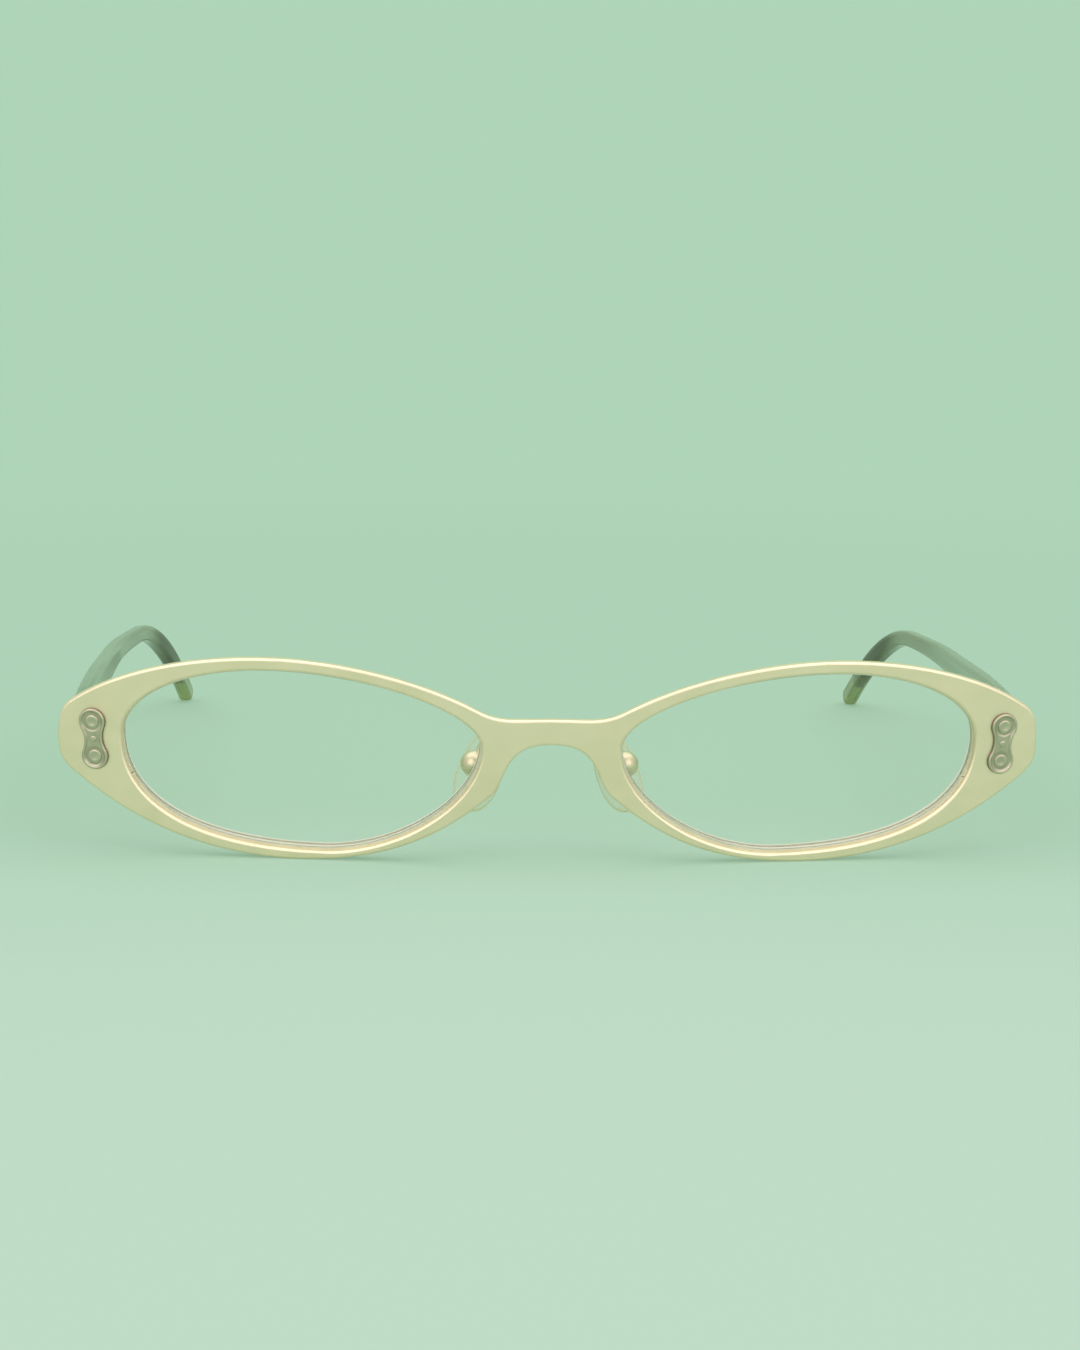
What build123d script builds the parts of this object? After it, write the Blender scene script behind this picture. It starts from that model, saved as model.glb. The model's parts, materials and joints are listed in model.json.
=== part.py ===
from build123d import *
from build123d.topology import SkipClean
import os
from math import asin, atan2, cos, degrees, radians, sin, sqrt

# Oval eyeglasses: a bowed metal front plate with a grooved eyewire behind each
# opening, riveted shields and five-barrel hinges at its ends, slim acetate
# temples on metal cores, and screwed nose pads. Lengths are in millimetres.
# Left and right are as seen from in front. While it is modelled, +X is to the
# right, the front looks to -Y, and the temples run back to +Y.

# Front plate
HALF_WIDTH = 66.0
FRONT_HEIGHT = 27.7
PLATE_T = 1.0
PLATE_EDGE_R = 0.32
WRAP_R = 260.0
PANTO_DEG = 7.0
# Knots of the right half: x share, z share, heading, pull in and pull out shares
OUTLINE_SHARES = (
    (0.0, 0.731, 0, 0.0, 0.488),
    (0.150, 0.770, 28, 0.364, 0.337),
    (0.558, 1.0, 0, 0.281, 0.468),
    (0.976, 0.728, -38, 0.201, 0.344),
    (1.0, 0.550, -90, 0.398, 0.491),
    (0.967, 0.374, -141, 0.460, 0.408),
    (0.519, 0.0, -180, 0.292, 0.397),
    (0.121, 0.347, -222, 0.356, 0.279),
    (0.0, 0.605, -180, 0.625, 0.0),
)

# Openings
BRIDGE_HALF = 9.2
END_LENGTH = 8.6
RIM_TOP = 1.6
RIM_BOTTOM = 1.2
OPEN_NASAL_SHARE = 0.585
OPEN_TEMPLE_SHARE = 0.576
OPEN_TOP_SHARE = 0.566
OPEN_BOTTOM_SHARE = 0.442
FULLNESS_SHARES = (0.468, 0.575, 0.648, 0.501)

# Eyewires and lenses
EYEWIRE_D = 2.2
EYEWIRE_LIP = 0.3
EYEWIRE_OUT = 0.75
GROOVE_DEPTH = 0.6
GROOVE_HALF = 0.5
GROOVE_SLOPE = 0.36
LENS_GAP = 0.05
LENS_T = 1.8
LENS_R = 130.0
LENS_SEAT = 0.45
RIDGE_WEB = 1.2

# Closing blocks and their screws
LOCK_SHARE = 0.17
LOCK_OUT = 2.5
LOCK_RUN = 1.6
LOCK_SLIT = 0.16
LOCK_RELIEF = 0.12
LOCK_CLEAR = 0.1
RIM_SCREW_R = 0.45
RIM_SCREW_HEAD_R = 0.75
RIM_SCREW_HEAD_H = 0.45
SCREW_GAP = 0.03

# Shields and their rivets
SHIELD_INSET = 4.8
SHIELD_SHARE = 0.55
SHIELD_LEAN_DEG = 2.5
SHIELD_LOBE_R = 1.85
SHIELD_SPAN = 4.8
SHIELD_WAIST = 2.6
SHIELD_T = 0.3
SHIELD_RIM = 0.35
SHIELD_RIM_H = 0.2
RIVET_R = 0.6
RIVET_HEAD_R = 0.95
RIVET_HEAD_H = 0.28
RIVET_TAIL_H = 0.25
STUD_R = 0.5
STUD_H = 0.2

# Hinges
HINGE_BACK = 12.5
HINGE_INSET = 5.3
HINGE_UP = 17.6
BARREL_COUNT = 5
BARREL_H = 0.9
BARREL_GAP = 0.06
BARREL_R = 1.2
BARREL_CLEAR = 0.15
WEB_T = 1.5
BASE_W = 3.8
BASE_H = 7.8
BASE_T = 0.9
BASE_CORNER_R = 0.8
HINGE_SCREW_R = 0.6
HINGE_HEAD_R = 1.05
HINGE_HEAD_H = 0.5
RUN_GAP = 0.05
STOP_GAP = 0.2
LEAF_T = 0.7
LEAF_H = 2.8
LEAF_LENGTH = 10.5
LEAF_LEAD = 1.6
LEAF_RIVET_R = 0.5
LEAF_RIVET_HEAD_R = 0.85
LEAF_RIVET_HEAD_H = 0.25
LEAF_RIVET_FIRST = 4.4
LEAF_RIVET_STEP = 4.6

# Temples: reach share, top share, height share and outward share at each station
TEMPLE_LEAD = 5.5
TEMPLE_REACH = 129.5
TEMPLE_TOP = 20.5
TEMPLE_H = 5.4
TEMPLE_T = 2.2
TEMPLE_INSET = 1.5
TEMPLE_HALF_SPREAD = HALF_WIDTH - TEMPLE_INSET
TEMPLE_EDGE_R = 0.7
STATION_SHARES = (
    (0.0, 1.0, 1.0, 0.998),
    (0.266, 0.985, 0.87, 1.002),
    (0.459, 0.920, 0.68, 1.002),
    (0.614, 0.878, 0.52, 0.993),
    (0.730, 0.846, 0.44, 0.970),
    (0.792, 0.812, 0.47, 0.955),
    (0.846, 0.715, 0.56, 0.933),
    (0.923, 0.478, 0.61, 0.903),
)
TIP_R = 1.4
TIP_OUT_SHARE = 0.870
TIP_SLOPE_DEG = 31.0
CORE_H = 1.1
CORE_T = 1.0
CORE_GAP = 0.03
CORE_START = 8.0
CORE_END = 5.0

# Nose pads, their arms and cups
CUP_R = 1.62
CUP_X = 10.15
CUP_BACK = 6.95
CUP_UP = 12.1
PAD_SPLAY_DEG = 42.0
PAD_FRONTAL_DEG = 27.0
PAD_L = 12.5
PAD_W = 7.7
PAD_T = 1.8
PAD_EDGE_R = 0.75
PAD_GAP = 0.35
PAD_SET_BACK = 1.2
PAD_WIDEST_SHARE = 0.1
PAD_HEAD_SHARE = 0.48
PAD_FOOT_SHARE = 0.62
LUG_T = 0.6
LUG_R = 0.75
LUG_NECK_H = 1.1
LUG_FOOT_L = 3.4
LUG_FOOT_W = 2.2
LUG_FOOT_T = 0.5
LUG_SIDE_GAP = 0.1
LUG_GAP = 0.2
PAD_SCREW_R = 0.35
PAD_SCREW_HEAD_R = 0.6
PAD_SCREW_HEAD_H = 0.35
ARM_R = 0.5
ARM_FOOT_R = 0.8
ARM_FOOT_H = 0.4
ARM_X = 7.5
ARM_UP = 17.2
ARM_BACK = 5.6
ARM_KNEE_X = 9.0
ARM_KNEE_UP = 15.0
ARM_BEND_R = 1.1

# Shared
OVERRUN = 2.0
FIT = 0.02
MATCH = 0.01


def bow(x, depth=0.0):
    """Return how far back the bowed front lies at x, at a depth below its face."""
    return WRAP_R - sqrt((WRAP_R - depth) ** 2 - x ** 2)


def bowed_slab(near, far):
    """Return the bowed slab between two depths below the plate's face."""
    reach = HALF_WIDTH + OVERRUN
    face_arc = ThreePointArc((-reach, bow(reach, near)), (0, near), (reach, bow(reach, near)))
    back_arc = ThreePointArc((reach, bow(reach, far)), (0, far), (-reach, bow(reach, far)))
    ends = [Line(face_arc @ 1, back_arc @ 0), Line(back_arc @ 1, face_arc @ 0)]
    slab = make_face([face_arc, ends[0], back_arc, ends[1]])
    return extrude(Pos(0, 0, -OVERRUN) * slab, amount=FRONT_HEIGHT + 2 * OVERRUN)


def prism(face):
    """Extrude a face drawn in x and z through the whole depth of the bowed front."""
    start = Plane.XZ.offset(OVERRUN)
    depth = bow(HALF_WIDTH) + PLATE_T + EYEWIRE_D + 2 * OVERRUN
    return extrude(start * face, amount=-depth)


def flow(knots):
    """Return smooth curves through knots of place, heading and pull shares."""
    curves = []
    for (x0, z0, turn0, _, pull0), (x1, z1, turn1, pull1, _) in zip(knots, knots[1:]):
        start, end = Vector(x0, z0), Vector(x1, z1)
        chord = (end - start).length
        lead = Vector(cos(radians(turn0)), sin(radians(turn0))) * (chord * pull0)
        trail = Vector(cos(radians(turn1)), sin(radians(turn1))) * (chord * pull1)
        curves.append(Bezier(start, start + lead, end - trail, end))
    return curves


def plate_outline():
    """Return the face of the whole front, without its openings."""
    knots = [(x * HALF_WIDTH, z * FRONT_HEIGHT, turn, pull_in, pull_out)
             for x, z, turn, pull_in, pull_out in OUTLINE_SHARES]
    half = flow(knots)
    other = [mirror(curve, about=Plane.YZ) for curve in half]
    return make_face(half + other)


def quarter(start, end, upright, fullness):
    """Return a quarter of an oval, upright or level at its start."""
    run, rise = end[0] - start[0], end[1] - start[1]
    if upright:
        first = (start[0], start[1] + rise * fullness)
        second = (end[0] - run * fullness, end[1])
    else:
        first = (start[0] + run * fullness, start[1])
        second = (end[0], end[1] - rise * fullness)
    return Bezier(start, first, second, end)


def oval_curves(grow=0.0):
    """Return the right opening's four quarters, grown outwards by a length."""
    inner, outer = BRIDGE_HALF, HALF_WIDTH - END_LENGTH
    nasal = (inner - grow, OPEN_NASAL_SHARE * FRONT_HEIGHT)
    top = (inner + OPEN_TOP_SHARE * (outer - inner), FRONT_HEIGHT - RIM_TOP + grow)
    temple = (outer + grow, OPEN_TEMPLE_SHARE * FRONT_HEIGHT)
    bottom = (inner + OPEN_BOTTOM_SHARE * (outer - inner), RIM_BOTTOM - grow)
    upper_nasal, upper_temple, lower_temple, lower_nasal = FULLNESS_SHARES
    return [
        quarter(nasal, top, True, upper_nasal),
        quarter(top, temple, False, upper_temple),
        quarter(temple, bottom, True, lower_temple),
        quarter(bottom, nasal, False, lower_nasal),
    ]


def oval(grow=0.0):
    """Return the right opening's face, grown outwards by a length."""
    return make_face(oval_curves(grow))


def at_depth(edge, depth):
    """Tell whether an edge lies wholly at one depth below the plate's face."""
    radius = WRAP_R - depth
    points = [edge.position_at(share) for share in (0, 0.5, 1)]
    return all(abs(sqrt(p.X ** 2 + (p.Y - WRAP_R) ** 2) - radius) < MATCH for p in points)


def mirrored(part):
    """Return a part's twin on the other side of the nose."""
    return mirror(part, about=Plane.YZ)


def end_place():
    """Return the shield's place on the plate's face, with +Y going into the plate."""
    x = HALF_WIDTH - SHIELD_INSET
    wrap = degrees(asin(x / WRAP_R))
    place = Pos(x, bow(x), SHIELD_SHARE * FRONT_HEIGHT)
    return place * Rot(0, 0, wrap) * Rot(0, SHIELD_LEAN_DEG, 0)


def rod(radius, start, end, x=0.0, z=0.0):
    """Return a round rod along +Y from start to end, in a piece's own frame."""
    return extrude(Plane.XZ.offset(-start) * Pos(x, z) * Circle(radius), amount=start - end)


def rivet_heights():
    """Return the two shield rivets' heights in the shield's frame."""
    return (SHIELD_SPAN / 2, -SHIELD_SPAN / 2)


def shank_holes(radius):
    """Return rods through shield, plate and hinge base where the rivets pass."""
    back = PLATE_T + BASE_T + OVERRUN
    return [end_place() * rod(radius, -OVERRUN, back, z=z) for z in rivet_heights()]


def front_plate():
    """Make the stamped plate with its two openings and softened face edges."""
    blank = plate_outline() - oval() - mirrored(oval())
    plate = prism(blank) & bowed_slab(0.0, PLATE_T)
    plate = fillet([edge for edge in plate.edges() if at_depth(edge, 0.0)], PLATE_EDGE_R)
    for hole in shank_holes(RIVET_R + FIT):
        plate = plate - hole - mirrored(hole)
    return plate


def groove_depth():
    """Return the depth of the groove's middle below the plate's face."""
    return PLATE_T + EYEWIRE_D / 2


def bevelled_disc(grow, half, slope):
    """Return a disc in the groove's plane whose edge is bevelled on both sides."""
    middle = groove_depth()
    disc = prism(oval(grow)) & bowed_slab(middle - half, middle + half)
    rims = [edge for edge in disc.edges()
            if at_depth(edge, middle - half) or at_depth(edge, middle + half)]
    return chamfer(rims, slope)


def lock_place():
    """Return a place on the eyewire's outer wall, with +X along it and +Y outwards."""
    wall = oval_curves(EYEWIRE_OUT)[2]
    point, run = wall @ LOCK_SHARE, wall % LOCK_SHARE
    turn = degrees(atan2(run.Y, run.X))
    return Pos(point.X, point.Y) * Rot(0, 0, turn)


def flat_box(x0, x1, y0, y1):
    """Return a rectangle between two corners."""
    return Pos((x0 + x1) / 2, (y0 + y1) / 2) * Rectangle(x1 - x0, y1 - y0)


def eyewire():
    """Make the right eyewire: a grooved ring, slit where the closing blocks sit."""
    near, far = PLATE_T, PLATE_T + EYEWIRE_D
    ring = prism(oval(EYEWIRE_OUT) - oval(-EYEWIRE_LIP)) & bowed_slab(near, far)
    ring -= bevelled_disc(GROOVE_DEPTH - EYEWIRE_LIP, GROOVE_HALF, GROOVE_SLOPE)
    wall = EYEWIRE_OUT + EYEWIRE_LIP
    slit = flat_box(-LOCK_SLIT / 2, LOCK_SLIT / 2, -wall - LOCK_RUN, LOCK_RUN)
    return ring - prism(lock_place() * slit)


def lens():
    """Make the right lens: a meniscus whose bevelled ridge sits in the groove."""
    inner, outer = BRIDGE_HALF, HALF_WIDTH - END_LENGTH
    half_chord = (outer - inner) / 2
    slope = atan2(bow(outer) - bow(inner), outer - inner)
    seat = groove_depth() - LENS_SEAT
    sag = LENS_R - sqrt(LENS_R ** 2 - half_chord ** 2)
    reach = LENS_R + seat - sag
    mid_z = (RIM_BOTTOM + FRONT_HEIGHT - RIM_TOP) / 2
    centre = Pos((inner + outer) / 2 - sin(slope) * reach,
                 (bow(inner) + bow(outer)) / 2 + cos(slope) * reach, mid_z)
    skin = centre * (Sphere(LENS_R) - Sphere(LENS_R - LENS_T))
    body = prism(oval(-EYEWIRE_LIP - LENS_GAP)) & skin
    ridge = bevelled_disc(GROOVE_DEPTH - EYEWIRE_LIP - LENS_GAP, GROOVE_HALF - LENS_GAP, GROOVE_SLOPE)
    ridge -= prism(oval(-EYEWIRE_LIP - RIDGE_WEB))
    return body + ridge


def rim_lock():
    """Make the right closing blocks, one on each side of the eyewire's slit."""
    near, far = PLATE_T + LOCK_RELIEF, PLATE_T + EYEWIRE_D
    sides = [flat_box(LOCK_SLIT / 2, LOCK_RUN, -EYEWIRE_OUT, LOCK_OUT),
             flat_box(-LOCK_RUN, -LOCK_SLIT / 2, -EYEWIRE_OUT, LOCK_OUT)]
    blocks = []
    for side in sides:
        block = prism(lock_place() * side) & bowed_slab(near, far)
        block = block - prism(oval(EYEWIRE_OUT)) - rim_screw_rod(RIM_SCREW_R + SCREW_GAP, OVERRUN)
        blocks.append(block)
    return blocks


def lock_room():
    """Return the room that the right closing blocks and their screw need."""
    above = LOCK_RUN + RIM_SCREW_HEAD_H + LOCK_CLEAR
    return prism(lock_place() * flat_box(-above, LOCK_RUN + LOCK_CLEAR, -EYEWIRE_OUT, LOCK_OUT + LOCK_CLEAR))


def rim_screw_place():
    """Return the place of the closing screw, with +Z along its axis."""
    flat = lock_place() * Pos(0, LOCK_OUT / 2)
    x, z = flat.position.X, flat.position.Y
    back = bow(x, groove_depth())
    turn = flat.orientation.Z
    return Pos(x, back, z) * Rot(0, -turn, 0) * Rot(0, 90, 0)


def rim_screw_rod(radius, past):
    """Return a rod along the closing screw's axis, longer than the blocks by past."""
    length = 2 * (LOCK_RUN + past)
    return rim_screw_place() * Cylinder(radius, length)


def rim_screw():
    """Make the closing screw, its head on the upper block's end."""
    shank = rim_screw_rod(RIM_SCREW_R, 0.0)
    head = Pos(0, 0, -LOCK_RUN - RIM_SCREW_HEAD_H / 2) * Cylinder(RIM_SCREW_HEAD_R, RIM_SCREW_HEAD_H)
    slot = Pos(0, 0, -LOCK_RUN - RIM_SCREW_HEAD_H) * Box(
        2 * RIM_SCREW_HEAD_R, RIM_SCREW_HEAD_H / 2, RIM_SCREW_HEAD_H)
    return shank + rim_screw_place() * (head - slot)


def hourglass(grow=0.0):
    """Return the shield's waisted outline of tangent arcs, grown by a length."""
    lobe, half_span = SHIELD_LOBE_R + grow, SHIELD_SPAN / 2
    half_waist = SHIELD_WAIST / 2 + grow
    hollow = (half_waist ** 2 + half_span ** 2 - lobe ** 2) / (2 * (lobe - half_waist))
    lean = atan2(half_span, half_waist + hollow)
    x, z = lobe * cos(lean), half_span - lobe * sin(lean)
    return make_face([
        ThreePointArc((-x, z), (0, half_span + lobe), (x, z)),
        ThreePointArc((x, z), (half_waist, 0), (x, -z)),
        ThreePointArc((x, -z), (0, -half_span - lobe), (-x, -z)),
        ThreePointArc((-x, -z), (-half_waist, 0), (-x, z)),
    ])


def shield_prism(outline):
    """Extrude a flat outline, drawn in the shield's frame, through the plate."""
    x = HALF_WIDTH - SHIELD_INSET
    flat = Pos(x, SHIELD_SHARE * FRONT_HEIGHT) * Rot(0, 0, -SHIELD_LEAN_DEG) * outline
    return prism(flat)


def rivet_shield():
    """Make the right shield: a waisted plate with a raised rim and a middle stud."""
    face = -SHIELD_T - SHIELD_RIM_H
    base = shield_prism(hourglass()) & bowed_slab(-SHIELD_T, 0.0)
    rim = shield_prism(hourglass() - hourglass(-SHIELD_RIM)) & bowed_slab(face, -SHIELD_T)
    stud = end_place() * rod(STUD_R, -SHIELD_T - STUD_H, -SHIELD_T / 2)
    shield = base + rim + stud
    for hole in shank_holes(RIVET_R + FIT):
        shield -= hole
    return shield


def shield_rivet(height):
    """Make one rivet through shield, plate and hinge base, with its peened tail."""
    back = PLATE_T + BASE_T
    shank = rod(RIVET_R, -SHIELD_T, back, z=height)
    head = rod(RIVET_HEAD_R, -SHIELD_T - RIVET_HEAD_H, -SHIELD_T, z=height)
    tops = [edge for edge in head.edges() if abs(edge.center().Y + SHIELD_T + RIVET_HEAD_H) < MATCH]
    head = chamfer(tops, RIVET_HEAD_H / 2)
    tail = rod(RIVET_HEAD_R, back, back + RIVET_TAIL_H, z=height)
    return end_place() * (shank + head + tail)


def tilted(part):
    """Lean a piece of the front into the frame of the open glasses."""
    return Rot(PANTO_DEG, 0, 0) * part


def hinge_axis():
    """Return the right hinge's axis as x, y and the height of its middle."""
    return HALF_WIDTH - HINGE_INSET, HINGE_BACK, HINGE_UP


def barrel_pitch():
    """Return the height from one barrel to the next."""
    return BARREL_H + BARREL_GAP


def barrel_stack(indexes, radius, height):
    """Return coaxial drums at the given places of the hinge's stack."""
    x, y, up = hinge_axis()
    lowest = up - barrel_pitch() * (BARREL_COUNT - 1) / 2
    drums = [Pos(x, y, lowest + barrel_pitch() * index) * Cylinder(radius, height)
             for index in indexes]
    return drums


def upright(radius, low, high):
    """Return a rod along the hinge's axis between two heights."""
    x, y, _ = hinge_axis()
    return Pos(x, y, (low + high) / 2) * Cylinder(radius, high - low)


def stack_ends():
    """Return the heights of the hinge stack's lower and upper faces."""
    _, _, up = hinge_axis()
    half = (barrel_pitch() * (BARREL_COUNT - 1) + BARREL_H) / 2
    return up - half, up + half


def span_box(x0, x1, y0, y1, z0, z1):
    """Return a box between two corners."""
    return Pos((x0 + x1) / 2, (y0 + y1) / 2, (z0 + z1) / 2) * Box(x1 - x0, y1 - y0, z1 - z0)


def knuckles(own, other, web, bore):
    """Return a web with its own barrels, open where the other leaf's barrels turn."""
    low, high = stack_ends()
    leaf = web
    for drum in barrel_stack(own, BARREL_R, BARREL_H):
        leaf += drum
    open_h = BARREL_H + 2 * BARREL_GAP
    for gap in barrel_stack(other, BARREL_R + BARREL_CLEAR, open_h):
        leaf -= gap
    return leaf - upright(bore, low - OVERRUN, high + OVERRUN)


def front_hinge():
    """Make the right front leaf: a riveted base and its odd barrels on a web."""
    x, y, _ = hinge_axis()
    low, high = stack_ends()
    outline = RectangleRounded(BASE_W, BASE_H, BASE_CORNER_R)
    base = shield_prism(outline) & bowed_slab(PLATE_T, PLATE_T + BASE_T)
    for hole in shank_holes(RIVET_R + FIT):
        base -= hole
    base -= lock_room()
    web = span_box(x - WEB_T / 2, x + WEB_T / 2, 0.0, y, low, high)
    own = range(0, BARREL_COUNT, 2)
    other = range(1, BARREL_COUNT, 2)
    arm = knuckles(own, other, web, HINGE_SCREW_R + FIT)
    inside_base = bowed_slab(-HINGE_BACK, PLATE_T + BASE_T)
    tails = [end_place() * rod(RIVET_HEAD_R + FIT, PLATE_T, PLATE_T + BASE_T + RIVET_TAIL_H + FIT, z=height)
             for height in rivet_heights()]
    arm -= tilted(inside_base)
    for tail in tails:
        arm -= tilted(tail)
    return tilted(base) + arm


def hinge_screw():
    """Make the right hinge screw with its slotted head on the top barrel."""
    low, high = stack_ends()
    x, y, _ = hinge_axis()
    shank = upright(HINGE_SCREW_R, low, high)
    head = upright(HINGE_HEAD_R, high, high + HINGE_HEAD_H)
    slot = Pos(x, y, high + HINGE_HEAD_H) * Box(2 * HINGE_HEAD_R, HINGE_HEAD_H / 2, HINGE_HEAD_H)
    return shank + head - slot


def stations():
    """Return the temple's stations as back, top, height and outward places."""
    return [(TEMPLE_LEAD + reach * TEMPLE_REACH, top * TEMPLE_TOP, height * TEMPLE_H,
             out * TEMPLE_HALF_SPREAD) for reach, top, height, out in STATION_SHARES]


def rest_level():
    """Return the height of the table under the leaning front."""
    return tilted(bowed_front_edge()).bounding_box().min.Z


def bowed_front_edge():
    """Return the plate's blank, which is enough to find where it rests."""
    return prism(plate_outline()) & bowed_slab(0.0, PLATE_T)


def tip_place(level):
    """Return the centre of the temple's round tip, back and up."""
    return TEMPLE_LEAD + TEMPLE_REACH, level + TIP_R


def profile(level, inset, middle_height=None):
    """Return the temple's side view, drawn back and up, shrunk by an inset."""
    upper, lower = [], []
    for back, top, height, _ in stations():
        half = height / 2 - inset if middle_height is None else middle_height / 2
        centre = top - height / 2
        upper.append((back, centre + half))
        lower.append((back, centre - half))
    back, up = tip_place(level)
    radius = TIP_R - inset if middle_height is None else middle_height / 2
    slope = radians(TIP_SLOPE_DEG)
    ahead = Vector(cos(slope), -sin(slope))
    side = Vector(sin(slope), cos(slope))
    centre = Vector(back, up)
    top_end, low_end = centre + side * radius, centre - side * radius
    over = Spline(*upper, top_end)
    round_end = ThreePointArc(top_end, centre + ahead * radius, low_end)
    under = Spline(low_end, *reversed(lower))
    front = Line(lower[0], upper[0])
    return make_face([over, round_end, under, front])


def strip(near, far):
    """Return the temple's plan between two depths below its outer face."""
    back_end = TEMPLE_LEAD + TEMPLE_REACH + 2 * TIP_R
    places = [(out, back) for back, _, _, out in stations()]
    places.append((TIP_OUT_SHARE * TEMPLE_HALF_SPREAD, back_end))
    outside = Spline(*[(x - near, y) for x, y in places])
    inside = Spline(*[(x - far, y) for x, y in reversed(places)])
    return make_face([outside, Line(outside @ 1, inside @ 0), inside, Line(inside @ 1, outside @ 0)])


def upright_strip(near, far):
    """Extrude the temple's plan strip over its whole height."""
    return extrude(Pos(0, 0, -OVERRUN) * strip(near, far), amount=TEMPLE_TOP + 2 * OVERRUN)


def side_prism(face):
    """Extrude a side view, drawn back and up, across the temple."""
    start = Plane.YZ.offset(TEMPLE_HALF_SPREAD / 2)
    return extrude(start * face, amount=TEMPLE_HALF_SPREAD)


def leaf_rivet_places():
    """Return the leaf rivets' distances behind the hinge axis."""
    return (LEAF_RIVET_FIRST, LEAF_RIVET_FIRST + LEAF_RIVET_STEP)


def across(radius, back, start, end):
    """Return a rod along +X at a distance behind the hinge axis."""
    _, y, up = hinge_axis()
    return Pos((start + end) / 2, y + back, up) * Rot(0, 90, 0) * Cylinder(radius, end - start)


def temple_core(level, slack=0.0):
    """Make the right temple's metal core, thicker by a slack for its channel."""
    middle = (TEMPLE_T - CORE_T) / 2
    core = side_prism(profile(level, 0.0, CORE_H + 2 * slack))
    core &= upright_strip(middle - slack, middle + CORE_T + slack)
    _, y, _ = hinge_axis()
    start = y + LEAF_LEAD + LEAF_LENGTH + CORE_START
    end = TEMPLE_LEAD + TEMPLE_REACH - CORE_END
    keep = span_box(0.0, TEMPLE_HALF_SPREAD + OVERRUN, start - slack, end + slack,
                    -OVERRUN, TEMPLE_TOP + OVERRUN)
    return core & keep


def temple(level):
    """Make the right temple: slim acetate, rounded along its edges, with the core's channel."""
    arm = side_prism(profile(level, 0.0)) & upright_strip(0.0, TEMPLE_T)
    arm = fillet(arm.edges(), TEMPLE_EDGE_R)
    stop = PLATE_T + BASE_T + RIVET_TAIL_H + STOP_GAP
    arm -= tilted(bowed_slab(-HINGE_BACK, stop))
    arm -= temple_core(level, CORE_GAP)
    edge = TEMPLE_HALF_SPREAD + OVERRUN
    for back in leaf_rivet_places():
        arm -= across(LEAF_RIVET_R + FIT, back, edge - TEMPLE_T - 2 * OVERRUN, edge)
    return arm


def temple_hinge():
    """Make the right temple leaf: a riveted strip and its even barrels on a web."""
    x, y, up = hinge_axis()
    low, high = stack_ends()
    first = y + LEAF_LEAD
    strip_box = span_box(0.0, TEMPLE_HALF_SPREAD, first, first + LEAF_LENGTH,
                         up - LEAF_H / 2, up + LEAF_H / 2)
    leaf = upright_strip(TEMPLE_T, TEMPLE_T + LEAF_T) & strip_box
    for back in leaf_rivet_places():
        leaf -= across(LEAF_RIVET_R + FIT, back, 0.0, TEMPLE_HALF_SPREAD)
    web = span_box(x - WEB_T / 2, TEMPLE_HALF_SPREAD, y, first + WEB_T, low, high)
    web -= upright_strip(-OVERRUN, TEMPLE_T)
    own = range(1, BARREL_COUNT, 2)
    other = range(0, BARREL_COUNT, 2)
    arm = knuckles(own, other, web, HINGE_SCREW_R + RUN_GAP)
    return leaf + arm


def temple_rivets():
    """Make the two rivets that hold the leaf to the right temple."""
    outer = upright_strip(0.0, TEMPLE_T + LEAF_T)
    rivets = []
    edge = TEMPLE_HALF_SPREAD + OVERRUN
    for back in leaf_rivet_places():
        shank = across(LEAF_RIVET_R, back, TEMPLE_HALF_SPREAD / 2, edge) & outer
        inner_face = upright_strip(TEMPLE_T + LEAF_T, TEMPLE_T + LEAF_T + LEAF_RIVET_HEAD_H)
        head = across(LEAF_RIVET_HEAD_R, back, TEMPLE_HALF_SPREAD / 2, edge) & inner_face
        rivets.append(shank + head)
    return rivets


def cup_place():
    """Return the right cup's centre, +X away from the nose and +Y along its screw."""
    return (Pos(CUP_X, CUP_BACK, CUP_UP) * Rot(0, 0, -PAD_SPLAY_DEG)
            * Rot(0, -PAD_FRONTAL_DEG, 0))


def pad_cup():
    """Make the right cup: a ball slotted for the pad's lug and bored for its screw."""
    reach = CUP_R + OVERRUN
    room = LUG_R + LUG_GAP
    slot = Circle(room) + Pos(-reach / 2, 0) * Rectangle(reach, 2 * room)
    width = LUG_T + 2 * LUG_SIDE_GAP
    slot = extrude(Plane.XZ.offset(-width / 2) * slot, amount=width)
    ball = Sphere(CUP_R) - slot - rod(PAD_SCREW_R + FIT, -reach, reach)
    ball -= rod(PAD_SCREW_HEAD_R + FIT, -reach, -CUP_R + PAD_SCREW_HEAD_H)
    return cup_place() * ball


def pad_screw():
    """Make the right pad's screw, its head sunk in the cup's front cheek."""
    face = -CUP_R + PAD_SCREW_HEAD_H
    shank = rod(PAD_SCREW_R, face, CUP_R - LUG_SIDE_GAP)
    head = rod(PAD_SCREW_HEAD_R, face - PAD_SCREW_HEAD_H, face)
    slot = Pos(0, face - PAD_SCREW_HEAD_H, 0) * Box(
        2 * PAD_SCREW_HEAD_R, PAD_SCREW_HEAD_H, PAD_SCREW_HEAD_H / 2)
    return cup_place() * (shank + head - slot)


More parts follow.
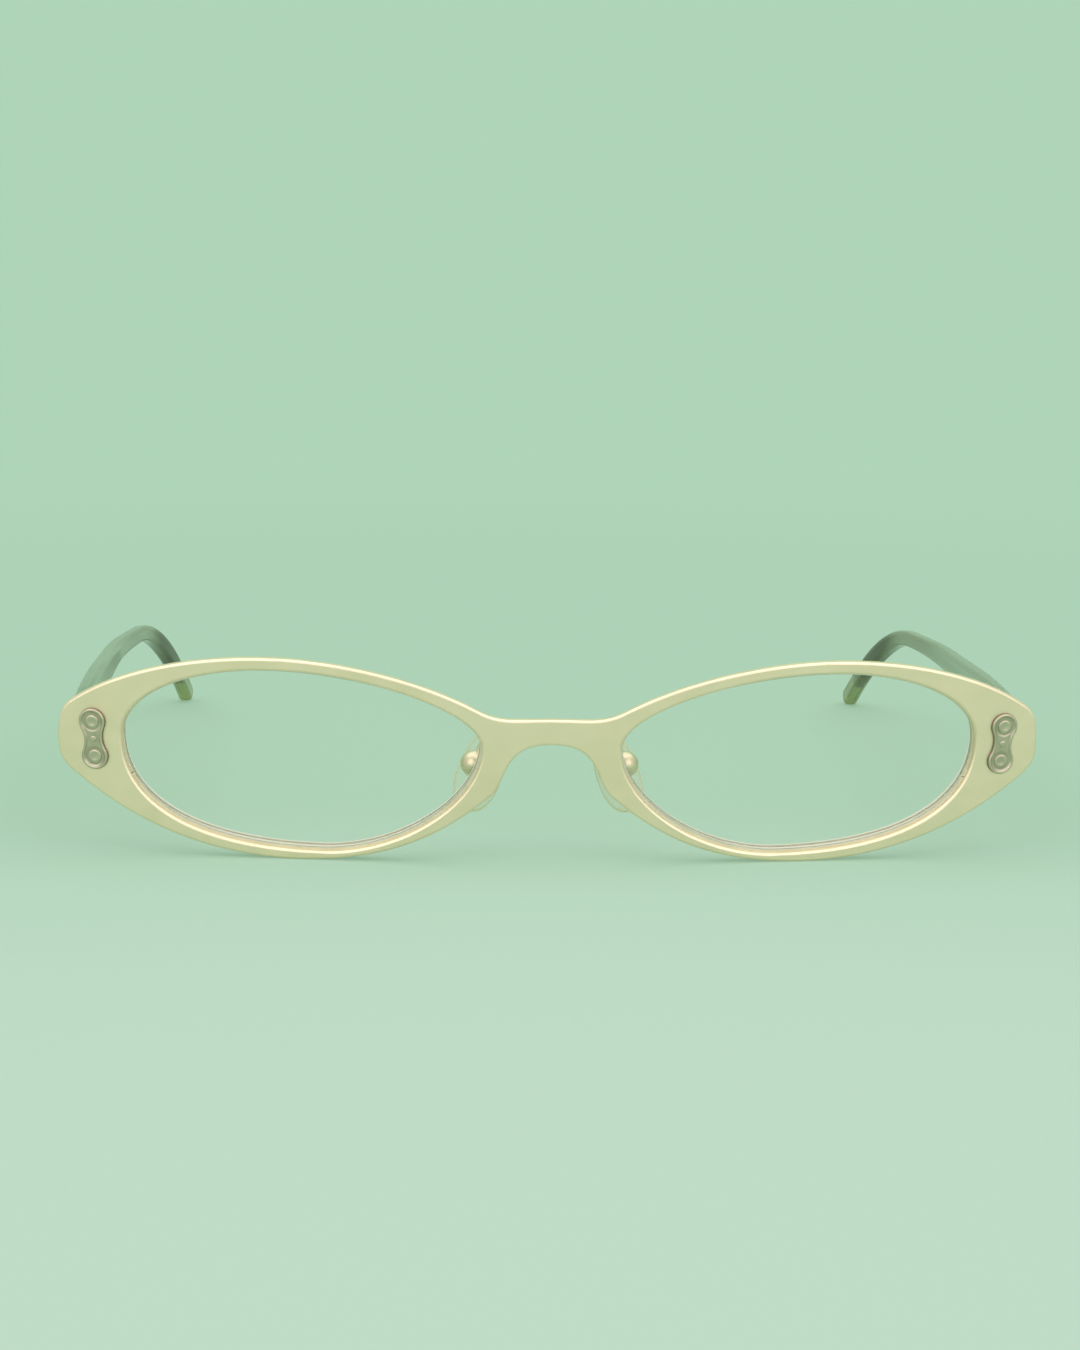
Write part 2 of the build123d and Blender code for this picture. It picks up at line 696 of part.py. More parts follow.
def pad_arm():
    """Make the right pad's arm: a wire from a foot on the plate's back to the cup."""
    start = Vector(ARM_X, bow(ARM_X, PLATE_T), ARM_UP)
    path = FilletPolyline(
        start, (ARM_X, ARM_BACK, ARM_UP), (ARM_KNEE_X, CUP_BACK, ARM_KNEE_UP),
        (CUP_X, CUP_BACK, CUP_UP), radius=ARM_BEND_R)
    wire = sweep(Plane(start, z_dir=(0, 1, 0)) * Circle(ARM_R), path=path)
    wire -= Pos(CUP_X, CUP_BACK, CUP_UP) * Sphere(CUP_R)
    foot = Plane(start, z_dir=(0, 1, 0)) * Cylinder(ARM_FOOT_R, 2 * ARM_FOOT_H)
    foot &= bowed_slab(PLATE_T, PLATE_T + ARM_FOOT_H)
    return wire - bowed_slab(-OVERRUN, PLATE_T) + foot


def pad_face():
    """Return how far the pad's outer face lies from the cup's centre."""
    return CUP_R + PAD_GAP


def lug_foot(slack=0.0):
    """Return the lug's foot in the pad's outer face, grown by a slack for its pocket."""
    face = pad_face()
    foot = Box(LUG_FOOT_T, LUG_FOOT_W + 2 * slack, LUG_FOOT_L + 2 * slack)
    return Pos(-face - LUG_FOOT_T / 2, 0, 0) * foot


def nose_pad():
    """Make the right pad: a soft-edged drop with a pocket for the lug's foot."""
    half, top = PAD_W / 2, PAD_L / 2
    widest = -PAD_L * PAD_WIDEST_SHARE
    outline = make_face([
        quarter((-half, widest), (0, top), True, PAD_HEAD_SHARE),
        quarter((0, top), (half, widest), False, PAD_HEAD_SHARE),
        quarter((half, widest), (0, -top), True, PAD_FOOT_SHARE),
        quarter((0, -top), (-half, widest), False, PAD_FOOT_SHARE),
    ])
    blank = extrude(Plane.YZ.offset(-pad_face() - PAD_T) * outline, amount=PAD_T)
    blank = fillet(blank.edges().filter_by(Plane.YZ), PAD_EDGE_R)
    blank = Pos(0, PAD_SET_BACK) * blank
    return cup_place() * (blank - lug_foot(FIT))


def pad_lug():
    """Make the right pad's lug: a foot, a neck and an eye that turns on the screw."""
    face = pad_face()
    eye = rod(LUG_R, -LUG_T / 2, LUG_T / 2)
    neck = span_box(-face - LUG_FOOT_T / 2, 0.0, -LUG_T / 2, LUG_T / 2,
                    -LUG_NECK_H / 2, LUG_NECK_H / 2)
    lug = eye + neck + lug_foot() - rod(PAD_SCREW_R + RUN_GAP, -CUP_R, CUP_R)
    return cup_place() * lug


def right_side(level):
    """Return every piece of the right side by name, front pieces already leaning."""
    rivets = [shield_rivet(height) for height in rivet_heights()]
    front = {
        "eyewire": [eyewire()],
        "lens": [lens()],
        "rim_lock": rim_lock(),
        "rim_screw": [rim_screw()],
        "rivet_shield": [rivet_shield()],
        "shield_rivets": rivets,
        "pad_arm": [pad_arm()],
        "pad_cup": [pad_cup()],
        "pad_screw": [pad_screw()],
        "nose_pad": [nose_pad()],
        "pad_lug": [pad_lug()],
    }
    pieces = {name: [tilted(part) for part in parts] for name, parts in front.items()}
    pieces["front_hinge"] = [front_hinge()]
    pieces["hinge_screw"] = [hinge_screw()]
    pieces["temple_hinge"] = [temple_hinge()]
    pieces["temple_rivets"] = temple_rivets()
    pieces["temple"] = [temple(level)]
    pieces["temple_core"] = [temple_core(level)]
    return pieces


def whole_object():
    """Return every node as a list of solids, both sides of the nose."""
    level = rest_level()
    nodes = {"front_plate": [tilted(front_plate())]}
    for name, parts in right_side(level).items():
        nodes[name + "_right"] = parts
        nodes[name + "_left"] = [mirrored(part) for part in parts]
    return nodes


def standing(nodes):
    """Move all nodes so that the origin is under the middle of the whole object."""
    box = Compound(children=[Compound(children=parts) for parts in nodes.values()]).bounding_box()
    centre = box.center()
    shift = Pos(0, -centre.Y, -box.min.Z)
    return shift, {name: [shift * part for part in parts] for name, parts in nodes.items()}


def export_all():
    """Build the object, write one file for each node and print the joint places."""
    os.makedirs("parts", exist_ok=True)
    with SkipClean():
        shift, nodes = standing(whole_object())
    for name, parts in nodes.items():
        solids = [solid for part in parts for solid in part.solids()]
        shape = solids[0] if len(solids) == 1 else Compound(children=solids)
        export_step(shape, f"parts/{name}.step")
    hinge = shift * Pos(*hinge_axis())
    cup = shift * Rot(PANTO_DEG, 0, 0) * cup_place()
    along = ((cup * Pos(0, CUP_R, 0)).position - cup.position).normalized()
    print("right hinge axis at", tuple(hinge.position))
    print("right cup at", tuple(cup.position), "screw along", tuple(along))


if __name__ == "__main__":
    export_all()
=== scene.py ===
"""Looks of the oval eyeglasses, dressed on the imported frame.

Most of the frame's own solids stay and get their finishes here. The end shields, their
rivets, the screws and the ball cups are made again with the shapes that show close to.
Lengths are in metres, in the frame's own axes: +X to the right as seen from in front,
+Y from the front towards the temple tips, +Z up.
"""

import json
import logging
import math
from dataclasses import dataclass, field
from enum import Enum

import bmesh
import bpy
import numpy as np
from mathutils import Matrix, Vector

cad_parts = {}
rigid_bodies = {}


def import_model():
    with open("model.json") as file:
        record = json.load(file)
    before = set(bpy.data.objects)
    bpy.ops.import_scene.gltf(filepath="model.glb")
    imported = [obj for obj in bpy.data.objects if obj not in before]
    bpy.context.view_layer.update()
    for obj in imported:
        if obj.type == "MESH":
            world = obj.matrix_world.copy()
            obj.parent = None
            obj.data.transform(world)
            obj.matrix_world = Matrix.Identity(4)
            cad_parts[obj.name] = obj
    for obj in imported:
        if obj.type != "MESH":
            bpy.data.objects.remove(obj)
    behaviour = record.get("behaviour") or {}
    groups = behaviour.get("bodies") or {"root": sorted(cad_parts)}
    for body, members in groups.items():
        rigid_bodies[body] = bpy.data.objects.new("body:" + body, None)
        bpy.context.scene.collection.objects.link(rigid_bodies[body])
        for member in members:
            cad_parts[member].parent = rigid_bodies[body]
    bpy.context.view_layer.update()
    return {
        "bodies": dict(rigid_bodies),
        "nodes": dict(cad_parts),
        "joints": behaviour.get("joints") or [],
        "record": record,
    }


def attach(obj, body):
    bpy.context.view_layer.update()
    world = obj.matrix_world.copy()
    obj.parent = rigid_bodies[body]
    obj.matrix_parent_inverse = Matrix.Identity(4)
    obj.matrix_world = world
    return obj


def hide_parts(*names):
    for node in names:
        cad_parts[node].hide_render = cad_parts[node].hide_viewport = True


MM = 0.001
FRONT_BODY = "front"
# Places closer together than this are one place.
SAME_PLACE = 1e-7
# Noise mostly lies between these two values.
NOISE_SPAN = (0.3, 0.7)
LOG = logging.getLogger("eyeglasses")


class Side(Enum):
    """The two halves of the frame, as seen from in front."""

    LEFT = "left"
    RIGHT = "right"

    @property
    def sign(self) -> int:
        """Return the sign of x on this side."""
        return -1 if self is Side.LEFT else 1

    def name_of(self, piece: str) -> str:
        """Return the name of this side's piece."""
        return f"{piece}_{self.value}"


def linear(red: float, green: float, blue: float) -> tuple:
    """Turn a colour as a screen shows it, 0 to 255, into Blender's linear values.

    Args:
        red, green, blue: the colour's parts, 0 to 255.

    Returns:
        Its three linear values and full opacity.
    """
    parts = [value / 255 for value in (red, green, blue)]
    plain = [part / 12.92 if part <= 0.04045 else ((part + 0.055) / 1.055) ** 2.4 for part in parts]
    return (*plain, 1.0)


class Value:
    """A node socket that takes part in sums."""

    def __init__(self, graph: "Graph", socket: bpy.types.NodeSocket) -> None:
        """Wrap one output socket of a graph's node."""
        self.graph = graph
        self.socket = socket

    def _sum(self, operation: str, first: object, second: object) -> "Value":
        """Add one Math node of two values."""
        return self.graph.add("ShaderNodeMath", {"operation": operation}, {0: first, 1: second})

    def __add__(self, other: object) -> "Value":
        """Return self + other."""
        return self._sum("ADD", self, other)

    __radd__ = __add__

    def __sub__(self, other: object) -> "Value":
        """Return self - other."""
        return self._sum("SUBTRACT", self, other)

    def __rsub__(self, other: object) -> "Value":
        """Return other - self."""
        return self._sum("SUBTRACT", other, self)

    def __mul__(self, other: object) -> "Value":
        """Return self * other."""
        return self._sum("MULTIPLY", self, other)

    __rmul__ = __mul__

    def __truediv__(self, other: object) -> "Value":
        """Return self / other."""
        return self._sum("DIVIDE", self, other)

    def __pow__(self, other: object) -> "Value":
        """Return self ** other."""
        return self._sum("POWER", self, other)

    def sin(self) -> "Value":
        """Return the sine of self."""
        return self._sum("SINE", self, 0.0)

    def cos(self) -> "Value":
        """Return the cosine of self."""
        return self._sum("COSINE", self, 0.0)

    def at_most(self, other: object) -> "Value":
        """Return the lesser of self and other."""
        return self._sum("MINIMUM", self, other)

    def at_least(self, other: object) -> "Value":
        """Return the greater of self and other."""
        return self._sum("MAXIMUM", self, other)

    def above(self, other: object) -> "Value":
        """Return 1 where self is greater than other, else 0."""
        return self._sum("GREATER_THAN", self, other)

    def ramp(self, low: float, high: float, start: float = 0.0, end: float = 1.0) -> "Value":
        """Return self mapped smoothly from low..high to start..end.

        Args:
            low, high: the stretch of self that is mapped.
            start, end: the values at its two ends.

        Returns:
            The mapped value, held beyond both ends.
        """
        sockets = {"Value": self, "From Min": low, "From Max": high, "To Min": start, "To Max": end}
        return self.graph.add("ShaderNodeMapRange", {"interpolation_type": "SMOOTHSTEP"}, sockets)


class Graph:
    """A node tree that nodes are added to by one method."""

    def __init__(self, tree: bpy.types.NodeTree) -> None:
        """Hold the tree."""
        self.tree = tree

    def node(
        self,
        kind: str,
        settings: dict[str, object] | None = None,
        sockets: dict[str | int, object] | None = None,
    ) -> bpy.types.Node:
        """Add a node, make its settings, then fill or link its sockets.

        Args:
            kind: the node's type name.
            settings: its own properties, which are set first.
            sockets: a value, a Value or a socket for each named or numbered input.

        Returns:
            The new node.
        """
        made = self.tree.nodes.new(kind)
        for key, setting in (settings or {}).items():
            setattr(made, key, setting)
        for key, given in (sockets or {}).items():
            source = given.socket if isinstance(given, Value) else given
            if isinstance(source, bpy.types.NodeSocket):
                self.tree.links.new(source, made.inputs[key])
            else:
                made.inputs[key].default_value = source
        return made

    def add(
        self,
        kind: str,
        settings: dict[str, object] | None = None,
        sockets: dict[str | int, object] | None = None,
        output: str | int = 0,
    ) -> Value:
        """Add a node and return one of its outputs.

        Args:
            kind, settings, sockets: as for node().
            output: the name or number of the output.

        Returns:
            That output, ready for sums.
        """
        return Value(self, self.node(kind, settings, sockets).outputs[output])

    def mix(self, amount: object, first: tuple | Value, second: tuple | Value) -> Value:
        """Return a colour between two, by an amount from 0 to 1."""
        sockets = {"Factor": amount, 6: first, 7: second}
        return self.add("ShaderNodeMix", {"data_type": "RGBA"}, sockets, output=2)


class SurfaceGraph(Graph):
    """A material's node tree, with the patterns that the finishes share."""

    def __init__(self, name: str) -> None:
        """Make an empty material of that name."""
        self.material = bpy.data.materials.new(name)
        self.material.use_nodes = True
        super().__init__(self.material.node_tree)
        self.tree.nodes.clear()
        self.place = self.add("ShaderNodeTexCoord", output="Object")

    def noise(
        self, size: float, detail: float = 2.0, stretch: tuple = (1, 1, 1), shift: float = 0
    ) -> Value:
        """Return noise between 0 and 1.

        Args:
            size: the length of its waves in metres.
            detail: how many finer layers it has.
            stretch: how much longer the waves are along each axis.
            shift: a seed that moves the pattern.

        Returns:
            The noise value.
        """
        scale = tuple(1 / (size * part) for part in stretch)
        settings = {"vector_type": "POINT"}
        spot = self.add("ShaderNodeMapping", settings, {"Vector": self.place, "Scale": scale})
        settings = {"noise_dimensions": "4D"}
        sockets = {"Vector": spot, "W": shift, "Scale": 1.0, "Detail": detail}
        return self.add("ShaderNodeTexNoise", settings, sockets)

    def relief(self, height: Value, depth: float) -> Value:
        """Return a normal from a height pattern.

        Args:
            height: the pattern, 0 to 1.
            depth: how deep it is in metres.

        Returns:
            The bumped normal.
        """
        sockets = {"Height": height, "Distance": depth, "Strength": 1.0}
        return self.add("ShaderNodeBump", None, sockets)

    def finish(self, sockets: dict[str, object]) -> bpy.types.Material:
        """Add the Principled shader with these sockets and end the tree.

        Args:
            sockets: the values and links of the shader's inputs.

        Returns:
            The finished material.
        """
        shader = self.add("ShaderNodeBsdfPrincipled", None, sockets)
        self.node("ShaderNodeOutputMaterial", None, {"Surface": shader})
        return self.material


@dataclass(frozen=True)
class Metal:
    """A plated, blasted or turned metal."""

    name: str
    colour: tuple
    shade: tuple
    roughness: float
    roughness_spread: float = 0.06
    mottle: float = 6 * MM
    rub_share: float = 0.3
    rub_stretch: tuple = (2.5, 1, 1)
    grain: float = 0.05 * MM
    grain_depth: float = 0.0015 * MM
    # How much darker the places marked in the sunk attribute are drawn: painted shade in recesses and
    # on side walls.
    hollow: float = 0.0
    hollow_roughness: float = 0.12
    metallic: float = 1.0

    def material(self) -> bpy.types.Material:
        """Return the metal: slow colour drift, fine blasted grain and faint handling marks."""
        graph = SurfaceGraph(self.name)
        drift = graph.noise(self.mottle, detail=3.0)
        rub_size = self.mottle * self.rub_share
        rubbed = graph.noise(rub_size, detail=4.0, stretch=self.rub_stretch, shift=3.0)
        grain = graph.noise(self.grain, detail=1.0, shift=7.0)
        colour = graph.mix(drift.ramp(*NOISE_SPAN), self.colour, self.shade)
        least, most = self.roughness - self.roughness_spread, self.roughness + self.roughness_spread
        roughness = rubbed.ramp(*NOISE_SPAN, least, most)
        # Painted shade: the sunk attribute darkens the colour in the recesses and on the side walls.
        if self.hollow:
            sunk = graph.add("ShaderNodeAttribute", {"attribute_name": "sunk"}, output="Fac")
            painted_shade_colour = tuple(part * (1 - self.hollow) for part in self.shade[:3])
            colour = graph.mix(sunk, colour, (*painted_shade_colour, 1.0))
            roughness = roughness + sunk * self.hollow_roughness
        sockets = {
            "Base Color": colour,
            "Metallic": self.metallic,
            "Roughness": roughness,
            "Normal": graph.relief(grain, self.grain_depth),
        }
        return graph.finish(sockets)


@dataclass(frozen=True)
class Acetate:
    """Polished cellulose acetate, translucent, with a slow drift of colour.

    In the drop behind the ear it is darkened along the line of the wire core inside it: partly the core
    seen through, partly painted shade on the drop.
    """

    name: str
    colour: tuple
    deep: tuple
    shaded: tuple
    roughness: float
    see_through: float
    ior: float = 1.48
    coat: float = 0.6
    coat_roughness: float = 0.12
    streak_size: float = 14 * MM
    cloud_size: float = 2.2 * MM
    cloud_share: float = 0.15
    wave_size: float = 1.4 * MM
    wave_depth: float = 0.0005 * MM
    scuff_size: float = 0.6 * MM
    scuff_edges: tuple = (0.45, 0.75)
    scuff_spread: float = 0.03
    drop_start: float = 44 * MM
    drop_end: float = 60 * MM
    fade: float = 4 * MM
    drop_point: tuple = (49.5 * MM, 12.4 * MM)
    drop_angle: float = math.radians(-29.0)
    half_width: float = 1.4 * MM
    core_edges: tuple = (0.25, 2.0)

    def material(self) -> bpy.types.Material:
        """Return the acetate: streaks along the sheet, a polish with faint waves."""
        graph = SurfaceGraph(self.name)
        streak = graph.noise(self.streak_size, detail=1.0, stretch=(1, 4.0, 1))
        cloud = graph.noise(self.cloud_size, detail=4.0, shift=5.0)
        waves = graph.noise(self.wave_size, detail=1.0, stretch=(1, 5, 1), shift=9.0)
        scuff = graph.noise(self.scuff_size, detail=5.0, stretch=(1, 8, 1), shift=2.0)
        drift = streak * (1 - self.cloud_share) + cloud * self.cloud_share
        colour = graph.mix(drift.ramp(*NOISE_SPAN), self.colour, self.deep)
        most = self.roughness + self.scuff_spread
        roughness = scuff.ramp(*self.scuff_edges, self.roughness, most)
        shade = self.core_shade(graph)
        sockets = {
            # Darker along the core in the drop: partly the core seen through the acetate, partly
            # painted shade.
            "Base Color": graph.mix(shade, colour, self.shaded),
            "Roughness": roughness,
            "IOR": self.ior,
            "Transmission Weight": self.see_through,
            "Normal": graph.relief(waves, self.wave_depth),
            "Coat Weight": (1 - shade) * self.coat,
            "Coat Roughness": self.coat_roughness,
        }
        return graph.finish(sockets)

    def core_shade(self, graph: SurfaceGraph) -> Value:
        """Return how dark a place in the drop is drawn along the core, 0 to 1: partly the core seen
        through, partly painted shade.
        """
        split = graph.node("ShaderNodeSeparateXYZ", None, {0: graph.place})
        y, z = Value(graph, split.outputs[1]), Value(graph, split.outputs[2])
        aside = (z - self.drop_point[1]) * math.cos(self.drop_angle)
        aside = aside - (y - self.drop_point[0]) * math.sin(self.drop_angle)
        inner, outer = (edge * self.half_width**2 for edge in self.core_edges)
        near = (aside * aside).ramp(inner, outer, 1.0, 0.0)
        starts = y.ramp(self.drop_start - self.fade, self.drop_start + self.fade)
        ends = y.ramp(self.drop_end - self.fade, self.drop_end + self.fade, 1.0, 0.0)
        return near * starts * ends


@dataclass(frozen=True)
class Clear:
    """A clear lens or pad, seen mostly by its edges.

    Where it has a ground rim, that rim is the part whose normals lie across the front's
    own y axis, and it is frosted. The frosting is the lens's own; its near-white tint is
    also painted light that lifts the shade in the eyewire's groove.
    """

    name: str
    colour: tuple
    edge: tuple
    roughness: float
    ior: float
    faint: float
    strong: float
    blend: float = 0.35
    tint_edges: tuple = (0.2, 0.8)
    opacity_edges: tuple = (0.3, 0.9)
    cloudiness: float = 0.3
    roughness_growth: float = 1.6
    frost: float = 0.0
    # Near-white tint of the frosted rim, partly painted light that lifts the shaded groove.
    rim: tuple = linear(248, 244, 224)
    rim_edges: tuple = (0.72, 0.86)
    wave: float = 3 * MM
    wave_depth: float = 0.0

    def material(self) -> bpy.types.Material:
        """Return the clear stuff, more opaque where it is seen along its surface."""
        graph = SurfaceGraph(self.name)
        facing = graph.add("ShaderNodeLayerWeight", None, {"Blend": self.blend}, output="Facing")
        cloud = graph.noise(self.wave, detail=2.0)
        tint = graph.mix(facing.ramp(*self.tint_edges), self.colour, self.edge)
        opacity = facing.ramp(*self.opacity_edges, self.faint, self.strong)
        opacity = opacity + (cloud - 0.5) * (self.faint * self.cloudiness)
        if self.frost:
            normal = graph.add("ShaderNodeTexCoord", output="Normal")
            through = Value(graph, graph.node("ShaderNodeSeparateXYZ", None, {0: normal}).outputs[1])
            ground = (through * through).ramp(*self.rim_edges, 1.0, 0.0)
            opacity = opacity.at_least(ground * self.frost)
            # The frosted rim is drawn near white: partly the ground glass's own look, partly painted
            # light in the shaded groove.
            tint = graph.mix(ground, tint, self.rim)
        most = self.roughness * self.roughness_growth
        sockets = {
            "Base Color": tint,
            "Roughness": cloud.ramp(*NOISE_SPAN, self.roughness, most),
            "IOR": self.ior,
            "Alpha": opacity,
        }
        if self.wave_depth:
            sockets["Normal"] = graph.relief(cloud, self.wave_depth)
        return graph.finish(sockets)


PLATING = Metal(
    "champagne_plating",
    colour=linear(252, 233, 203),
    shade=linear(248, 229, 197),
    roughness=0.42,
    roughness_spread=0.03,
)
WIRE = Metal(
    "satin_wire",
    colour=linear(224, 224, 204),
    shade=linear(216, 216, 196),
    roughness=0.5,
    roughness_spread=0.04,
    mottle=3 * MM,
    metallic=0.45,
)
CUP = Metal(
    "satin_cups",
    colour=linear(229, 218, 186),
    shade=linear(221, 210, 178),
    roughness=0.40,
    roughness_spread=0.03,
    mottle=2 * MM,
)
PEWTER = Metal(
    "pewter",
    colour=linear(208, 200, 174),
    shade=linear(194, 187, 163),
    roughness=0.38,
    roughness_spread=0.05,
    mottle=1.5 * MM,
    # painted shade in the shield's recesses and on its side walls
    hollow=0.55,
)
STEEL = Metal(
    "turned_steel",
    colour=linear(205, 203, 192),
    shade=linear(178, 176, 166),
    roughness=0.26,
    roughness_spread=0.08,
    mottle=1.2 * MM,
)
CORE = Metal(
    "core_wire",
    colour=linear(58, 62, 46),
    shade=linear(44, 48, 36),
    roughness=0.42,
    roughness_spread=0.08,
    mottle=5 * MM,
)
OLIVE = Acetate(
    "olive_acetate",
    colour=linear(172, 182, 104),
    deep=linear(150, 164, 88),
    shaded=linear(100, 108, 46),
    roughness=0.2,
    see_through=0.8,
)
LENS = Clear(
    "clear_lens",
    colour=linear(240, 246, 232),
    edge=linear(236, 232, 206),
    roughness=0.02,
    ior=1.5,
    faint=0.012,
    strong=0.12,
    frost=0.95,
)
SILICONE = Clear(
    "pad_silicone",
    colour=linear(226, 228, 186),
    edge=linear(236, 224, 172),
    roughness=0.2,
    ior=1.42,
    faint=0.05,
    strong=0.7,
    blend=0.7,
    wave=1.8 * MM,
    wave_depth=0.01 * MM,
)
Finish = Metal | Acetate | Clear
FINISHES = (PLATING, WIRE, CUP, PEWTER, STEEL, CORE, OLIVE, LENS, SILICONE)


class Workshop:
    """Holds the frame's solids and the finishes, and does what every piece needs."""

    def __init__(self, frame: dict) -> None:
        """Keep the frame's solids and make each finish once."""
        self.nodes = frame["nodes"]
        self.finishes = {finish.name: finish.material() for finish in FINISHES}

    def paint(self, node: str, finish: Finish) -> None:
        """Give one of the frame's own solids a finish.

        Args:
            node: the solid's name.
            finish: one of FINISHES.
        """
        solid = self.nodes[node]
        if not solid.material_slots:
            solid.data.materials.append(None)
        for slot in solid.material_slots:
            slot.material = self.finishes[finish.name]
        LOG.info("%s gets %s", node, finish.name)

    def corners(self, node: str) -> np.ndarray:
        """Return the places of a solid's vertices."""
        mesh = self.nodes[node].data
        places = np.empty(len(mesh.vertices) * 3)
        mesh.vertices.foreach_get("co", places)
        return places.reshape(-1, 3)

    def mesh_piece(self, name: str, places: list, faces: list, finish: Finish) -> bpy.types.Object:
        """Make a smooth mesh piece.

        Args:
            name: the piece's name.
            places: its vertices.
            faces: its faces, as lists of vertex numbers.
            finish: one of FINISHES.

        Returns:
            The piece's object, at the origin.
        """
        mesh = bpy.data.meshes.new(name)
        mesh.from_pydata([tuple(place) for place in places], [], faces)
        mesh.update()
        mesh.shade_smooth()
        mesh.materials.append(self.finishes[finish.name])
        piece = bpy.data.objects.new(name, mesh)
        bpy.context.scene.collection.objects.link(piece)
        return piece

    def seat(self, piece: bpy.types.Object, slot: str, *stands_for: str) -> None:
        """Let a piece ride on the front and stand for solids.

        Args:
            piece: the new piece.
            slot: not used.
            stands_for: the frame's solids that it replaces.
        """
        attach(piece, FRONT_BODY)
        if stands_for:
            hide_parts(*stands_for)
        LOG.info("%s rides on %s, %d faces", piece.name, FRONT_BODY, len(piece.data.polygons))


class ShapeGraph(Graph):
    """A Geometry Nodes tree with named inputs."""

    def __init__(self, name: str) -> None:
        """Make the tree with its geometry sockets."""
        super().__init__(bpy.data.node_groups.new(name, "GeometryNodeTree"))
        self.tree.interface.new_socket("Geometry", in_out="INPUT", socket_type="NodeSocketGeometry")
        self.tree.interface.new_socket("Geometry", in_out="OUTPUT", socket_type="NodeSocketGeometry")
        self.entry = self.tree.nodes.new("NodeGroupInput")

    def input(self, name: str, kind: str = "NodeSocketFloat") -> Value:
        """Add a named input and return it."""
        self.tree.interface.new_socket(name, in_out="INPUT", socket_type=kind)
        return Value(self, self.entry.outputs[name])

    def end(self, geometry: Value, material: Value) -> None:
        """Realize the instances, set the material and end the tree."""
        whole = self.add("GeometryNodeRealizeInstances", None, {"Geometry": geometry})
        dressed = self.add("GeometryNodeSetMaterial", None, {"Geometry": whole, "Material": material})
        self.node("NodeGroupOutput", None, {"Geometry": dressed})


@dataclass(frozen=True)
class Head:
    """A screw or rivet as it is turned: its head, its shank and what is cut in it."""

    radius: float
    height: float
    shank_radius: float
    shank_length: float
    roundness: float = 0.45
    dish_radius: float = 0.0
    dish_depth: float = 0.0
    slot_width: float = 0.0
    slot_depth: float = 0.0


